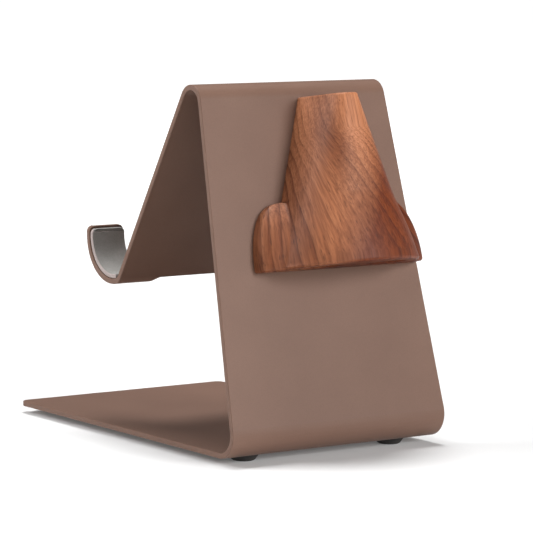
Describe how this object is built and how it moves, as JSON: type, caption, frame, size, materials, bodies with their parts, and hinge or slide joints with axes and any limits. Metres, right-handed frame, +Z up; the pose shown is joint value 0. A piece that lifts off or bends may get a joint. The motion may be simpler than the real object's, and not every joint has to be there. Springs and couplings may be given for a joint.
{
  "type": "eyeglasses display stand",
  "caption": "Bent sheet-metal stand with a carved wooden nose that wears eyeglasses in front and a padded hook that holds a phone behind.",
  "frame": {"origin": "on the table, under the middle of the object's box", "axes": "+X to the right seen from the front (the nose's side), +Y to the back where the base and the phone hook reach, +Z up"},
  "size_m": [0.092, 0.1598, 0.1306],
  "materials": {
    "powder_coat": "matt taupe powder coat with a fine texture",
    "nose_wood": "oiled reddish-brown hardwood, grain running up the nose",
    "zinc_steel": "bright zinc plate",
    "black_rubber": "matt black",
    "grey_pad": "matt warm grey soft lining"
  },
  "bodies": {
    "root": {"bent_sheet": "powder_coat", "nose_block": "nose_wood", "nose_screw_lower": "zinc_steel", "nose_screw_upper": "zinc_steel", "nose_washer_lower": "zinc_steel", "nose_washer_upper": "zinc_steel", "foot_front_left": "black_rubber", "foot_front_right": "black_rubber", "foot_rear_left": "black_rubber", "foot_rear_right": "black_rubber", "hook_pad_left": "grey_pad", "hook_pad_right": "grey_pad"}
  },
  "joints": []
}
